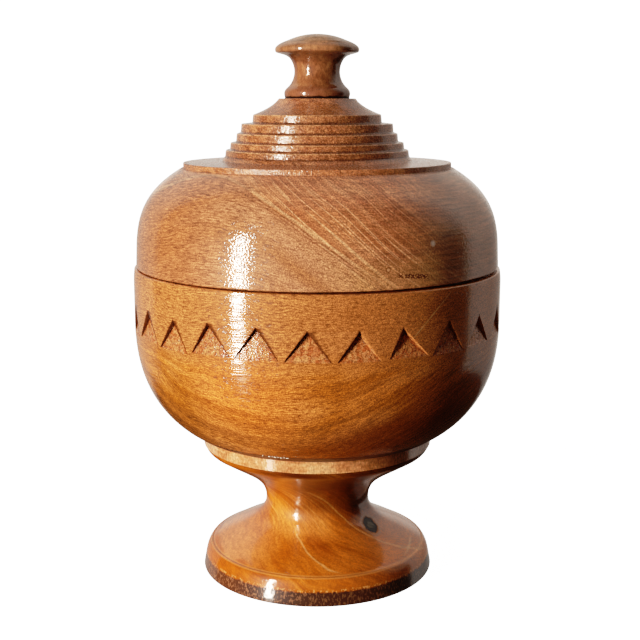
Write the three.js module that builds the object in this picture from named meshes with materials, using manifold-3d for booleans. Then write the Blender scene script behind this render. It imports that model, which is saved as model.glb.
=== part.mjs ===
// A lidded wooden bowl on a turned pedestal, with a row of triangles cut into the bowl's side.
// Millimetres, +Z up. The foot stands on z = 0, the axis of turning is the Z axis,
// and the front, from which the collar's joint is seen on the left, looks along -Y.
import * as THREE from "three";
import { mergeVertices } from "three/addons/utils/BufferGeometryUtils.js";
import Module from "manifold-3d";

const wasm = await Module();
wasm.setup();

// Driving dimensions
const gap = 0.3; // between two pieces that touch
const facets = 48; // round a large turned piece
const smallFacets = 32; // round the knob

const foot = { radius: 58.7, edge: 0.5, bandTop: 6.5, ridgeRadius: 54.8, ridgeHeight: 12.9 };
const neck = { radius: 26.3, height: 35 };
const cup = { radius: 57.1, height: 65.1 };
const collar = { radius: 57.6, thickness: 3.2, bottom: 65.4, top: 71.8, jointAngle: -49.5 };
const tenon = { radius: 20, length: 7.2 };
const bowl = { radius: 90.4, baseRadius: 60.3, rim: 155.8, wall: 8.6, floor: 85, rimRound: 0.9 };
const chips = { count: 25, first: -2.6, width: 19, bottom: 125.6, top: 139.7, depth: 2.2 };
const lid = { radius: 89, shoulder: 165, domeTop: 203.3, domeTopRadius: 66.3, ceiling: 196 };
const lip = { radius: 81, wall: 4, depth: 5 };
const flange = { radius: 65.2, top: 206 };
const knob = { bottom: 236.7, top: 266.8, beadRadius: 16.1, neckRadius: 11.1, capRadius: 20.3 };
const knobTenon = { radius: 6, length: 12 };

// The stepped tiers on the lid, from the lowest up: the radius and top edge of each face
const tiers = [
  { radius: 44.5, top: 211.8, rise: 2.9 },
  { radius: 42.1, top: 215.4, rise: 3 },
  { radius: 39.1, top: 219.7, rise: 3.7 },
  { radius: 36.8, top: 224.4, rise: 4 },
  { radius: 31.1, top: 228.7, rise: 3.7 },
];
const cone = { radius: 18.6, top: knob.bottom - gap };

const lidBottom = bowl.rim + gap;
const mortiseTop = collar.top + tenon.length + gap;

// Turned and cut solids

// A closed surface turned from an outline that runs up the outside, radius across and height up.
function turned(outline, count = facets) {
  const geometry = new THREE.LatheGeometry(outline.getPoints(), count);
  return closed(geometry.rotateX(Math.PI / 2));
}

function closed(geometry) {
  geometry.deleteAttribute("normal");
  geometry.deleteAttribute("uv");
  return mergeVertices(geometry, 1e-3);
}

function toSolid(geometry) {
  const vertProperties = geometry.attributes.position.array;
  const triVerts = new Uint32Array(geometry.index.array);
  return new wasm.Manifold(new wasm.Mesh({ numProp: 3, vertProperties, triVerts }));
}

function toGeometry(solid) {
  const { vertProperties, triVerts } = solid.getMesh();
  const geometry = new THREE.BufferGeometry();
  geometry.setAttribute("position", new THREE.BufferAttribute(vertProperties, 3));
  geometry.setIndex(new THREE.BufferAttribute(triVerts, 1));
  return geometry;
}

// An outline being drawn: straight runs, and curves with a chosen number of steps.
class Outline {
  constructor(radius, height) {
    this.points = [new THREE.Vector2(radius, height)];
  }
  to(radius, height) {
    this.points.push(new THREE.Vector2(radius, height));
    return this;
  }
  curve(curve, steps) {
    this.points.push(...curve.getPoints(steps).slice(1));
    return this;
  }
  // One bend, drawn towards its corner and away from it again.
  bend(cornerRadius, cornerHeight, radius, height, steps) {
    const corner = new THREE.Vector2(cornerRadius, cornerHeight);
    const end = new THREE.Vector2(radius, height);
    return this.curve(new THREE.QuadraticBezierCurve(this.points.at(-1), corner, end), steps);
  }
  // A bend with a separate pull at each end.
  sweep(first, second, end, steps) {
    const [a, b, c] = [first, second, end].map((p) => new THREE.Vector2(...p));
    return this.curve(new THREE.CubicBezierCurve(this.points.at(-1), a, b, c), steps);
  }
  getPoints() {
    return this.points;
  }
}

// Pedestal: a rounded foot, a waisted neck and a cup that flares out to the collar's seat
function pedestalShape() {
  const seat = collar.radius - collar.thickness - gap;
  const outline = new Outline(0, 0)
    .to(foot.radius - foot.edge, 0)
    .bend(foot.radius, 0, foot.radius, foot.edge, 2)
    .to(foot.radius - 0.8, foot.bandTop)
    .bend(foot.radius - 1.6, 10.6, foot.ridgeRadius, foot.ridgeHeight, 3)
    .bend(foot.ridgeRadius - 2.4, 14.6, 44.3, 18.5, 3)
    .sweep([34, 23.5], [neck.radius, 27.3], [neck.radius, neck.height], 7)
    .sweep([neck.radius, 46.8], [37.9, 51.3], [cup.radius - 2.4, 61.8], 7)
    .bend(cup.radius - 0.4, 63.2, cup.radius, cup.height, 2)
    .to(seat, cup.height)
    .to(seat, collar.top)
    .to(tenon.radius, collar.top)
    .to(tenon.radius, collar.top + tenon.length)
    .to(0, collar.top + tenon.length);
  return turned(outline);
}

// Collar: a strip bent round the pedestal's top, its two ends a gap apart at the joint
function collarShape() {
  const halfGap = gap / 2 / collar.radius;
  const joint = THREE.MathUtils.degToRad(collar.jointAngle - 90);
  const [start, end] = [joint + halfGap, joint + 2 * Math.PI - halfGap];
  const strip = new THREE.Shape()
    .absarc(0, 0, collar.radius, start, end, false)
    .absarc(0, 0, collar.radius - collar.thickness, end, start, true);
  const depth = collar.top - collar.bottom;
  const geometry = new THREE.ExtrudeGeometry(strip, {
    depth,
    steps: 1,
    curveSegments: facets,
    bevelEnabled: false,
  });
  return closed(geometry.translate(0, 0, collar.bottom));
}

// Bowl: hollow, open at the rim, with a mortise for the pedestal's tenon underneath
function bowlShape() {
  const bottom = collar.top + gap;
  const inner = bowl.radius - bowl.wall;
  const mortise = tenon.radius + gap;
  const belly = 126;
  const outline = new Outline(0, mortiseTop)
    .to(mortise, mortiseTop)
    .to(mortise, bottom)
    .to(bowl.baseRadius, bottom)
    .sweep([74.8, 79.6], [89.8, 95], [bowl.radius, belly], 10)
    .to(bowl.radius, 149)
    .bend(bowl.radius, 152, bowl.radius - 0.4, bowl.rim - bowl.rimRound, 1)
    .bend(bowl.radius - 0.4, bowl.rim, bowl.radius - 1.4, bowl.rim, 2)
    .to(inner, bowl.rim)
    .to(inner + 0.4, belly + 4)
    .sweep([inner + 0.4, 104], [66, bowl.floor + 1], [36, bowl.floor], 8)
    .to(0, bowl.floor);
  let solid = toSolid(turned(outline));
  for (let i = 0; i < chips.count; i++) {
    solid = solid.subtract(toSolid(chipShape(chips.first + (360 / chips.count) * i)));
  }
  return toGeometry(solid);
}

// One triangular chip, point up: deepest at its point, its floor rising to the surface at its base
function chipShape(angle) {
  const [half, height] = [chips.width / 2, chips.top - chips.bottom];
  const outside = 4;
  const triangle = new THREE.Shape()
    .moveTo(-half, 0)
    .lineTo(half, 0)
    .lineTo(0, height);
  const geometry = new THREE.ExtrudeGeometry(triangle, { depth: outside, steps: 1, bevelEnabled: false });
  const corner = Math.sqrt(bowl.radius ** 2 - half ** 2);
  const position = geometry.attributes.position;
  for (let i = 0; i < position.count; i++) {
    const cut = position.getZ(i) > 0 ? outside : (-chips.depth * position.getY(i)) / height;
    position.setZ(i, corner + cut);
  }
  geometry.rotateX(Math.PI / 2).translate(0, 0, chips.bottom);
  return closed(geometry.rotateZ(THREE.MathUtils.degToRad(angle)));
}

// Lid: a hollow dome with a locating lip, under a flange, stepped tiers and a hollowed cone
function lidShape() {
  const lipBottom = lidBottom - lip.depth;
  const inner = lip.radius - lip.wall;
  const outline = new Outline(0, lid.ceiling)
    .to(44, lid.ceiling - 1)
    .sweep([66, 194], [inner + 2.5, 184], [inner + 2.5, 163], 7)
    .to(inner, lipBottom)
    .to(lip.radius, lipBottom)
    .to(lip.radius, lidBottom)
    .to(lid.radius - 0.9, lidBottom)
    .bend(lid.radius, lidBottom, lid.radius, lidBottom + 0.9, 2)
    .to(lid.radius - 0.35, lid.shoulder)
    .sweep([88.2, 181.5], [83.8, 193], [lid.domeTopRadius, lid.domeTop], 9)
    .to(flange.radius, lid.domeTop)
    .to(flange.radius, flange.top)
    .to(tiers[0].radius + 2, flange.top + 0.8);
  for (const tier of tiers) {
    outline.to(tier.radius + 0.35, tier.top - tier.rise).to(tier.radius, tier.top);
  }
  outline
    .sweep([27, 230.2], [21, 232.8], [cone.radius, cone.top], 5)
    .to(knobTenon.radius + gap, cone.top)
    .to(knobTenon.radius + gap, cone.top - knobTenon.length)
    .to(0, cone.top - knobTenon.length);
  return turned(outline);
}

// Knob: a spool with a bead at its foot and a domed cap, on a tenon let into the lid
function knobShape() {
  const beadTop = 241.6;
  const outline = new Outline(0, knob.bottom - knobTenon.length + gap)
    .to(knobTenon.radius, knob.bottom - knobTenon.length + gap)
    .to(knobTenon.radius, knob.bottom)
    .to(knob.beadRadius - 0.6, knob.bottom)
    .bend(knob.beadRadius + 0.8, 239.6, 14.4, beadTop, 4)
    .sweep([knob.neckRadius - 0.2, 244.6], [knob.neckRadius - 1.2, 250.2], [12.5, 254.3], 6)
    .bend(13.4, 256.4, 17.2, 257.3, 2)
    .to(knob.capRadius - 1, 257.9)
    .bend(knob.capRadius + 0.3, 258.2, knob.capRadius - 0.1, 260.1, 2)
    .bend(19.4, 262, 14.2, 263.8, 3)
    .bend(7.4, knob.top, 0, knob.top, 3);
  return turned(outline, smallFacets);
}

// The pieces, in the order in which they stack
const wood = (color, roughness) => new THREE.MeshStandardMaterial({ color, roughness, metalness: 0 });
const pieces = [
  ["pedestal_foot", pedestalShape(), wood(0xb4692b, 0.25)],
  ["collar_band", collarShape(), wood(0xe2a063, 0.25)],
  ["bowl", bowlShape(), wood(0xbe762f, 0.3)],
  ["lid", lidShape(), wood(0xb9804e, 0.3)],
  ["knob", knobShape(), wood(0xb77b4b, 0.25)],
];

const liddedBowl = new THREE.Group();
for (const [name, geometry, material] of pieces) {
  const mesh = new THREE.Mesh(geometry, material);
  mesh.name = name;
  liddedBowl.add(mesh);
}

export default liddedBowl;
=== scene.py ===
import math
import random

import bmesh
import bpy
from mathutils import Matrix, Vector, noise


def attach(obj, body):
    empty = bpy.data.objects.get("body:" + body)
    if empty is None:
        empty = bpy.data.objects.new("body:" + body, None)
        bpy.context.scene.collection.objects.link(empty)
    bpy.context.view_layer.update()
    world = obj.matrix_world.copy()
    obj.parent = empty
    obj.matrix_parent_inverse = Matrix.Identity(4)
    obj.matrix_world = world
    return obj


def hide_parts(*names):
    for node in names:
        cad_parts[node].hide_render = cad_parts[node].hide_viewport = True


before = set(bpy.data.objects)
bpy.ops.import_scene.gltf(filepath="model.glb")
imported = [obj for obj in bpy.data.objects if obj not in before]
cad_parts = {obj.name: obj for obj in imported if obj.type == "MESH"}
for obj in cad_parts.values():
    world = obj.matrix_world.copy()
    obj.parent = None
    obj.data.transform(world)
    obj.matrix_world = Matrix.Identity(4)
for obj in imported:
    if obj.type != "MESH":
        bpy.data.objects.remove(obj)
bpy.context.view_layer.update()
scene = bpy.context.scene
millimetre = 0.001


# Turned outlines

easing = dict(sharpAngle=24, longRun=1.2, nearCorner=0.3)


class Outline:
    # half of a turned piece's section in millimetres, radius across and height up
    def __init__(self, radius, height):
        self.points = [Vector((radius, height))]

    def to(self, radius, height):
        self.points.append(Vector((radius, height)))
        return self

    def curve(self, pulls, end, step):
        corners = [self.points[-1], *map(Vector, pulls), Vector(end)]
        length = sum((b - a).length for a, b in zip(corners, corners[1:]))
        count = max(6, math.ceil(length / step))
        for i in range(1, count + 1):
            row = corners
            while len(row) > 1:
                row = [a.lerp(b, i / count) for a, b in zip(row, row[1:])]
            self.points.append(row[0])
        return self

    def bend(self, cornerRadius, cornerHeight, radius, height, step=0.6):
        return self.curve([(cornerRadius, cornerHeight)], (radius, height), step)

    def sweep(self, first, second, end, step=1.4):
        return self.curve([first, second], end, step)

    def eased(self, corner, longest):
        # sharp corners get a small round, and the runs beside them a split close by, for crisp shading
        points, sharp = [self.points[0]], set()
        for before, here, after in zip(self.points, self.points[1:], self.points[2:]):
            into, out = here - before, after - here
            if into.angle(out) < math.radians(easing["sharpAngle"]):
                points.append(here)
                continue
            reach = min(corner, into.length / 3, out.length / 3)
            start, end = here - into.normalized() * reach, here + out.normalized() * reach
            sharp.add(len(points))
            points += [start.lerp(here, t).lerp(here.lerp(end, t), t) for t in (0, 0.33, 0.67, 1)]
            sharp.add(len(points) - 1)
        points.append(self.points[-1])
        fine = [points[0]]
        for i, (a, b) in enumerate(zip(points, points[1:])):
            run = (b - a).length
            isLong, close = run > easing["longRun"], easing["nearCorner"] / run
            if isLong and i in sharp:
                fine.append(a.lerp(b, close))
            count = math.ceil(run / longest)
            fine += [a.lerp(b, k / count) for k in range(1, count)]
            if isLong and i + 1 in sharp:
                fine.append(b.lerp(a, close))
            fine.append(b)
        return fine


def spun(points, start, angle, steps, closed=False):
    # spins the outline from the azimuth start, counted from the front towards the right
    mesh = bmesh.new()
    verts = [mesh.verts.new((p.x * math.sin(start), -p.x * math.cos(start), p.y)) for p in points]
    ahead = verts[1:] + verts[:1] if closed else verts[1:]
    edges = [mesh.edges.new(pair) for pair in zip(verts, ahead)]
    bmesh.ops.spin(mesh, geom=verts + edges, axis=(0, 0, 1), cent=(0, 0, 0), dvec=(0, 0, 0),
                   angle=angle, steps=steps, use_merge=False, use_duplicate=False)
    return mesh


def turned(points, steps, sectors, start=0):
    # spins one sector of the outline and repeats it all round
    wedge = 2 * math.pi / sectors
    mesh = spun(points, start, wedge, steps)
    first = mesh.verts[:] + mesh.edges[:] + mesh.faces[:]
    for i in range(1, sectors):
        copy = bmesh.ops.duplicate(mesh, geom=first)["geom"]
        bmesh.ops.rotate(mesh, cent=(0, 0, 0), matrix=Matrix.Rotation(wedge * i, 3, "Z"),
                         verts=[v for v in copy if isinstance(v, bmesh.types.BMVert)])
    bmesh.ops.remove_doubles(mesh, verts=mesh.verts, dist=1e-4)
    bmesh.ops.recalc_face_normals(mesh, faces=mesh.faces)
    return mesh


def addObject(name, data):
    made = bpy.data.objects.new(name, data)
    scene.collection.objects.link(made)
    return made


def meshObject(name, mesh, material):
    data = bpy.data.meshes.new(name)
    mesh.to_mesh(data)
    mesh.free()
    data.materials.append(material)
    return addObject(name, data)


def addPiece(name, mesh, material, body, stands=None, sharp=32):
    # the finished mesh, in millimetres so far, becomes an object in metres that rides on its body
    bmesh.ops.scale(mesh, vec=(millimetre,) * 3, verts=mesh.verts)
    for face in mesh.faces:
        face.smooth = True
    for edge in mesh.edges:
        edge.smooth = len(edge.link_faces) < 2 or edge.calc_face_angle(0) < math.radians(sharp)
    piece = meshObject(name, mesh, material)
    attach(piece, body)
    if stands:
        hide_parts(stands)
    print("made", name, len(piece.data.polygons), "faces")


def azimuthOf(vert):
    return math.degrees(math.atan2(vert.co.x, -vert.co.y))


def outward(azimuth):
    # a level direction from the axis, counted from the front towards the right
    turn = math.radians(azimuth)
    return Vector((math.sin(turn), -math.cos(turn), 0))


def smoothStep(low, high, value):
    t = min(1, max(0, (value - low) / (high - low)))
    return t * t * (3 - 2 * t)


def swelled(mesh, beyond, amount, size):
    # the points that lie further out than beyond wander in and out a little
    for vert in mesh.verts:
        if vert.co.xy.length > beyond:
            swell = 1 + amount * noise.noise(vert.co * size)
            vert.co.x, vert.co.y = vert.co.x * swell, vert.co.y * swell


# Shader helpers

def mathNode(operation, swapped=False):
    def apply(self, other=0.0):
        first, second = (other, self) if swapped else (self, other)
        return self.finish.add("Math", {"operation": operation}, {0: first, 1: second})
    return apply


class Wire:
    # one output of a shader node, so that an expression on it adds its nodes
    def __init__(self, finish, socket):
        self.finish = finish
        self.socket = socket

    __add__ = __radd__ = mathNode("ADD")
    __mul__ = __rmul__ = mathNode("MULTIPLY")
    __sub__ = mathNode("SUBTRACT")
    __rsub__ = mathNode("SUBTRACT", swapped=True)
    __truediv__ = mathNode("DIVIDE")
    __pow__ = mathNode("POWER")
    __abs__ = mathNode("ABSOLUTE")
    larger = mathNode("MAXIMUM")

    def fade(self, low, high):
        # 0 at low, 1 at high, smooth between them
        return self.finish.add("MapRange", {"interpolation_type": "SMOOTHSTEP"}, {
            "Value": self, "From Min": low, "From Max": high})

    def within(self, start, full, fall, end):
        # 0 at start, 1 from full to fall, 0 again at end
        return self.fade(start, full) * self.fade(end, fall)

    def band(self, middle, half, soft):
        # 1 within half of the middle value, fading out over soft
        return abs(self - middle).fade(half + soft, half)


class Finish:
    # the node tree of a material or of the world, and the ways its nodes are added
    def __init__(self, owner, look=None):
        owner.use_nodes = True
        self.owner = owner
        self.look = look
        self.colour = None
        self.tree = owner.node_tree
        self.tree.nodes.clear()

    def add(self, kind, settings, inputs, output=0):
        node = self.tree.nodes.new("ShaderNode" + kind)
        for key, value in settings.items():
            if key == "stops":
                for i, (place, colour) in enumerate(value):
                    stop = node.color_ramp.elements[i] if i < 2 else node.color_ramp.elements.new(place)
                    stop.position, stop.color = place, (*colour, 1)
            else:
                setattr(node, key, value)
        for key, value in inputs.items():
            if isinstance(value, Wire):
                self.tree.links.new(value.socket, node.inputs[key])
            else:
                node.inputs[key].default_value = value
        return Wire(self, node.outputs[output])

    def place(self):
        # the place on the object, in millimetres
        where = self.add("TexCoord", {}, {}, "Object")
        return self.add("VectorMath", {"operation": "SCALE"}, {0: where, "Scale": 1 / millimetre})

    def turn(self, vector, angles=(0, 0, 0), stretch=(1, 1, 1), shift=(0, 0, 0)):
        return self.add("Mapping", {}, {
            "Vector": vector, "Rotation": [math.radians(a) for a in angles],
            "Scale": stretch, "Location": shift})

    def axes(self, vector, names="XYZ"):
        return [self.add("SeparateXYZ", {}, {0: vector}, axis) for axis in names]

    def join(self, first, second, third):
        return self.add("CombineXYZ", {}, {0: first, 1: second, 2: third})

    def far(self, vector, centre):
        return self.add("VectorMath", {"operation": "DISTANCE"}, {0: vector, 1: centre}, "Value")

    def radius(self, vector):
        level = self.turn(vector, stretch=(1, 1, 0))
        return self.add("VectorMath", {"operation": "LENGTH"}, {0: level}, "Value")

    def spot(self, vector, centre, inner, outer):
        # 1 within inner of the centre, 0 beyond outer
        return self.far(vector, centre).fade(outer, inner)

    def cloud(self, vector, size, detail=2.0, rough=0.5, bent=0.0):
        return self.add("TexNoise", {}, {
            "Vector": vector, "Scale": 1 / size, "Detail": detail, "Roughness": rough, "Distortion": bent})

    def streak(self, vector, stretch, size, detail=1.0, rough=0.5):
        return self.cloud(self.turn(vector, stretch=stretch), size, detail, rough)

    def push(self, vector, size, amount, detail=1.0):
        # the same place moved about by a soft noise
        drift = self.add("TexNoise", {}, {"Vector": vector, "Scale": 1 / size, "Detail": detail}, "Color")
        centred = self.add("VectorMath", {"operation": "SUBTRACT"}, {0: drift, 1: (0.5, 0.5, 0.5)})
        return self.add("VectorMath", {"operation": "MULTIPLY_ADD"},
                        {0: centred, 1: (amount,) * 3, 2: vector})

    def ridges(self, value, period, twist):
        # a wave of the value, bent by the twist in turns, between 0 and 1
        return self.add("Math", {"operation": "SINE"}, {0: (value / period + twist) * math.tau}) * 0.5 + 0.5

    def dashes(self, vector, across, sway, drawn, size):
        # short wavy dashes, fine in the value across and drawn out along the other two ways
        alongX, alongY = self.axes(self.push(vector, sway, 1.2), "XY")
        return self.cloud(self.join(across, alongX * drawn, alongY * drawn), size, 1.0, 0.5, 0.2)

    def stored(self, name):
        return self.add("Attribute", {"attribute_name": name}, {}, "Fac")

    def ramp(self, value, stops):
        return self.add("ValToRGB", {"stops": stops}, {0: value}, "Color")

    def tones(self, value, look, low=0.38, high=0.62):
        # the three tones of a wood along a value about 0.5
        return self.ramp(value, zip((low, 0.5, high), (look["deep"], look["mid"], look["bright"])))

    def mix(self, factor, first, second, blend="MIX"):
        colours = [c if isinstance(c, Wire) else (*c, 1) for c in (first, second)]
        return self.add("Mix", {"data_type": "RGBA", "blend_type": blend},
                        {0: factor, 6: colours[0], 7: colours[1]}, 2)

    def shade(self, colour, grain, amount, share=1.0):
        # a grain about 0.5 makes it darker or lighter, by the amount times the share
        tone = (grain - 0.5) * (share * (2 * amount)) + 1.0
        return self.mix(1.0, colour, self.join(tone, tone, tone), "MULTIPLY")

    def paint(self, mask, tint):
        # lays a colour, or one that the look names, over the colour so far
        self.colour = self.mix(mask, self.colour, self.look[tint] if isinstance(tint, str) else tint)

    def vary(self, *grain):
        self.colour = self.shade(self.colour, *grain)

    def bump(self, height, depth, normal=None):
        # height times depth is the relief in millimetres
        inputs = {"Height": height, "Distance": depth * millimetre}
        if normal:
            inputs["Normal"] = normal
        return self.add("Bump", {}, inputs)

    def relief(self, vector, pores, lineShare=1.0):
        # orange peel, turning lines and open pores seen through the varnish
        look = self.look
        peel = self.bump(self.cloud(vector, look["peelSize"], 0.0), look["peel"])
        lines = self.streak(vector, (0.05, 0.05, 1), look["lineSize"])
        return self.bump(lines * lineShare * look["lines"] - pores * look["pits"], 1.0, peel)

    def close(self, roughness, normal, sheen=0.3, ior=1.5):
        # gloss varnish over wood: a sharp reflection that follows the relief, and a broad sheen from the wood
        self.link(self.add("BsdfPrincipled", {}, {
            "Base Color": self.colour, "Roughness": roughness, "Normal": normal, "IOR": ior,
            "Coat Weight": sheen, "Coat Roughness": 0.42, "Coat IOR": 1.45}))
        return self.owner

    def link(self, shader, kind="Material"):
        output = self.tree.nodes.new("ShaderNodeOutput" + kind)
        self.tree.links.new(shader.socket, output.inputs["Surface"])


def newFinish(name, look=None):
    fin = Finish(bpy.data.materials.new(name), look)
    return fin, fin.place()


# Pieces

foot = dict(
    radius=58.7, edge=0.5, bandTop=6.5, ridgeRadius=54.8, ridgeHeight=12.9, neckRadius=26.3, neckHeight=35,
    cupRadius=57.1, cupHeight=65.1, seat=54.1, top=71.8, tenonRadius=20, tenonTop=79, sectors=32)

pedestalWood = dict(
    deep=(0.33, 0.07, 0.004), mid=(0.53, 0.14, 0.01), bright=(0.72, 0.215, 0.03), line=(0.95, 0.46, 0.16),
    left=(0.82, 0.3, 0.1), right=(0.7, 0.2, 0.02), rim=(0.56, 0.13, 0.012), glow=(0.95, 0.34, 0.09),
    dark=(0.34, 0.34, 0.34), band=(0.07, 0.026, 0.016), bandLeft=(0.16, 0.05, 0.02),
    bandSpeck=(0.42, 0.19, 0.09), knotDark=(0.02, 0.01, 0.006), knotRim=(0.42, 0.2, 0.08),
    knotHeartGlint=(0.2, 0.15, 0.1), turn=24, leftSide=(-0.35, -0.85), leftHeight=(12.5, 14.5, 20, 28),
    rimHeight=(14, 12.5), rightSide=(0.35, 0.75), rightHeight=(26, 18), shadeSide=(-0.9, -0.1),
    shadeHeight=(26, 40), lowLine=(17.3, 0.12, 0.5), lowTilt=19.6, lowBow=18.5, lowSide=(-0.42, -0.3),
    lowHeight=(13.3, 15), highLine=(45, 0.2, 0.7), highTilt=26.8, highBow=13, highMiddle=0.2,
    highSide=(-0.25, -0.1), lineFront=(-8, -16), fanStep=3.1, fanHeight=(22, 31, 44, 52), fanSide=(0.5, 0.0),
    fanDarkSide=(-0.7, -0.3), shadowSide=(-0.4, -0.1, 0.45, 0.75), shadowHeight=(16, 22),
    sheenSide=(-0.4, 0.45, 0.3), sheenFront=(-10, -20), sheenHeight=(22, 27, 32, 38), rimSide=(-0.2, 0.2),
    rimFront=(-20, -40), rimFrontHeight=(15, 12.5), bandLeftSide=(-0.45, -0.8), speckSide=(0.1, -0.5),
    knot=(26.7, -17.9, 25.2), knotTurn=-38, knotStretch=(0.6, 0.35, 1.2), knotEdge=(3.3, 0.2, 0.6),
    gloss=0.07, sheen=0.6, peelSize=1.6, peel=0.03, lineSize=1.0, lines=0.008, pits=0.006)


def pedestalFinish():
    w = pedestalWood
    fin, where = newFinish("pedestal_varnished_wood", w)
    bent = fin.push(where, 17, 6)
    bentX, bentY, bentZ = fin.axes(bent)
    radius = fin.radius(bent)
    side = bentX / radius   # -1 at the left edge, 1 at the right edge
    sweep = bentZ + side * w["turn"]   # the growth layers wind down round the neck towards the right
    flow = fin.join(sweep, bentY * 0.05, radius * 0.1)
    fine = fin.cloud(flow, 1.5)
    tone = fin.cloud(flow, 11) * 0.45 + fin.cloud(bent, 20, 1.0) * 0.3 + fine * 0.25
    fin.colour = fin.tones(tone, w, high=0.6)
    # paler on the left of the foot's top, partly the wood's own tone and partly a painted reflection of the
    # pale room
    atLeft = side.fade(*w["leftSide"])
    fin.paint(atLeft * bentZ.within(*w["leftHeight"]) * 0.75, "left")
    fin.paint(atLeft * bentZ.fade(*w["rimHeight"]) * 0.7, "rim")
    fin.paint(side.fade(*w["rightSide"]) * bentZ.fade(*w["rightHeight"]) * 0.5, "right")
    # two pale lines of a growth layer across the front, and a fan of faint ones between them
    x, y, z = fin.axes(where)
    turnX = x / fin.radius(where)
    atFront = y.fade(*w["lineFront"])
    wander = (fin.cloud(where, 9, 1.0) - 0.5) * 1.8
    low = (z + turnX * w["lowTilt"] - turnX * turnX * w["lowBow"] + wander).band(*w["lowLine"])
    low = low * turnX.fade(*w["lowSide"]) * z.fade(*w["lowHeight"])
    layer = z + turnX * w["highTilt"]
    fromMiddle = turnX - w["highMiddle"]
    high = (layer + fromMiddle * fromMiddle * w["highBow"] + wander).band(*w["highLine"])
    high = high * turnX.fade(*w["highSide"])
    fan = fin.ridges(layer, w["fanStep"], fin.cloud(where, 15, 1.0) * 1.6)
    fanned = z.within(*w["fanHeight"]) * turnX.fade(*w["fanSide"]) * atFront
    fanned = fanned * fin.cloud(fin.join(layer, bentY * 0.1, radius * 0.1), 3.5, 1.0).fade(0.42, 0.62)
    fin.paint(fan.fade(0.35, 0.05) * fanned * turnX.fade(*w["fanDarkSide"]) * 0.45, "deep")
    shadows = fin.cloud(fin.join(layer, bentY * 0.05, radius * 0.08), 7, 1.0).fade(0.48, 0.62)
    shadows = shadows * turnX.within(*w["shadowSide"]) * z.fade(*w["shadowHeight"])
    fin.paint(shadows * 0.5, "deep")
    lines = (low + high * 0.8) * atFront + fan.fade(0.8, 1.0) * fanned * 0.45
    fin.paint(lines * 0.7, "line")
    # painted sheen: a brighter zone about the window's highlight on the front of the neck
    glow = turnX.band(*w["sheenSide"]) * y.fade(*w["sheenFront"]) * z.within(*w["sheenHeight"])
    fin.paint(glow * 0.45, "glow")
    frontRim = turnX.fade(*w["rimSide"]) * y.fade(*w["rimFront"]) * z.fade(*w["rimFrontHeight"])
    fin.paint(frontRim * 0.5, "deep")
    # fine fibres and pores, running up the left side and along the layers at the right
    fibres = fin.streak(where, (1, 1, 0.14), 0.9)
    layered = fin.cloud(fin.join(sweep, bentY * 0.15, radius * 0.3), 0.9, 1.0)
    speckle = fin.cloud(where, 0.65, 1.0)
    for grain, amount in ((fibres, 0.35), (layered, 0.4), (speckle, 0.28)):
        fin.vary(grain, amount)
    # painted shade: darker on the upper neck, from the middle round to the right, under the cup's overhang
    above = z.fade(*w["shadeHeight"]) * side.fade(*w["shadeSide"])
    fin.paint(above, fin.mix(1.0, fin.colour, w["dark"], "MULTIPLY"))
    # the knot, dark with a pale rim and a paler grey heart that is partly a painted glint, drawn out along
    # the layers
    offset = fin.turn(fin.push(where, 2.5, 2.2, 2.0), shift=[-c for c in w["knot"]])
    away = fin.far(fin.turn(fin.turn(offset, (0, w["knotTurn"], 0)), stretch=w["knotStretch"]), (0, 0, 0))
    fin.paint(away.band(*w["knotEdge"]) * 0.55, "knotRim")
    fin.paint(away.fade(2.9, 2.3), "knotDark")
    fin.paint(away.fade(1.5, 0.9) * fine.fade(0.42, 0.56) * 0.6, "knotHeartGlint")
    # the dark band round the foot's edge, browner at the left, with pale specks
    edge = z + (fin.cloud(where, 1.6, 3.0) - 0.5) * 2.2
    inBand = edge.fade(foot["bandTop"] + 0.8, foot["bandTop"] - 0.3)
    specks = fin.streak(where, (1, 1, 0.5), 0.85, 2.0, 0.6).fade(0.5, 0.64)
    bandColour = fin.mix(side.fade(*w["bandLeftSide"]) * 0.7, w["band"], w["bandLeft"])
    bandColour = fin.mix(specks * (side.fade(*w["speckSide"]) * 0.35 + 0.4), bandColour, w["bandSpeck"])
    fin.paint(inBand, bandColour)
    fin.paint(edge.band(foot["bandTop"] + 0.8, 0.2, 0.6) * specks * 0.8, "line")
    # painted highlight: a pale line along the ridge's edge
    fin.paint(z.band(foot["ridgeHeight"], 0.25, 0.5) * 0.3, "line")
    relief = fin.relief(where, speckle.fade(0.56, 0.7))
    relief = fin.bump(specks * inBand, 0.005, relief)
    relief = fin.bump(away.fade(1.6, 3.0), 0.8, relief)
    return fin.close(w["gloss"] + away.fade(3.4, 2.6) * 0.6, relief, w["sheen"])


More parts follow.
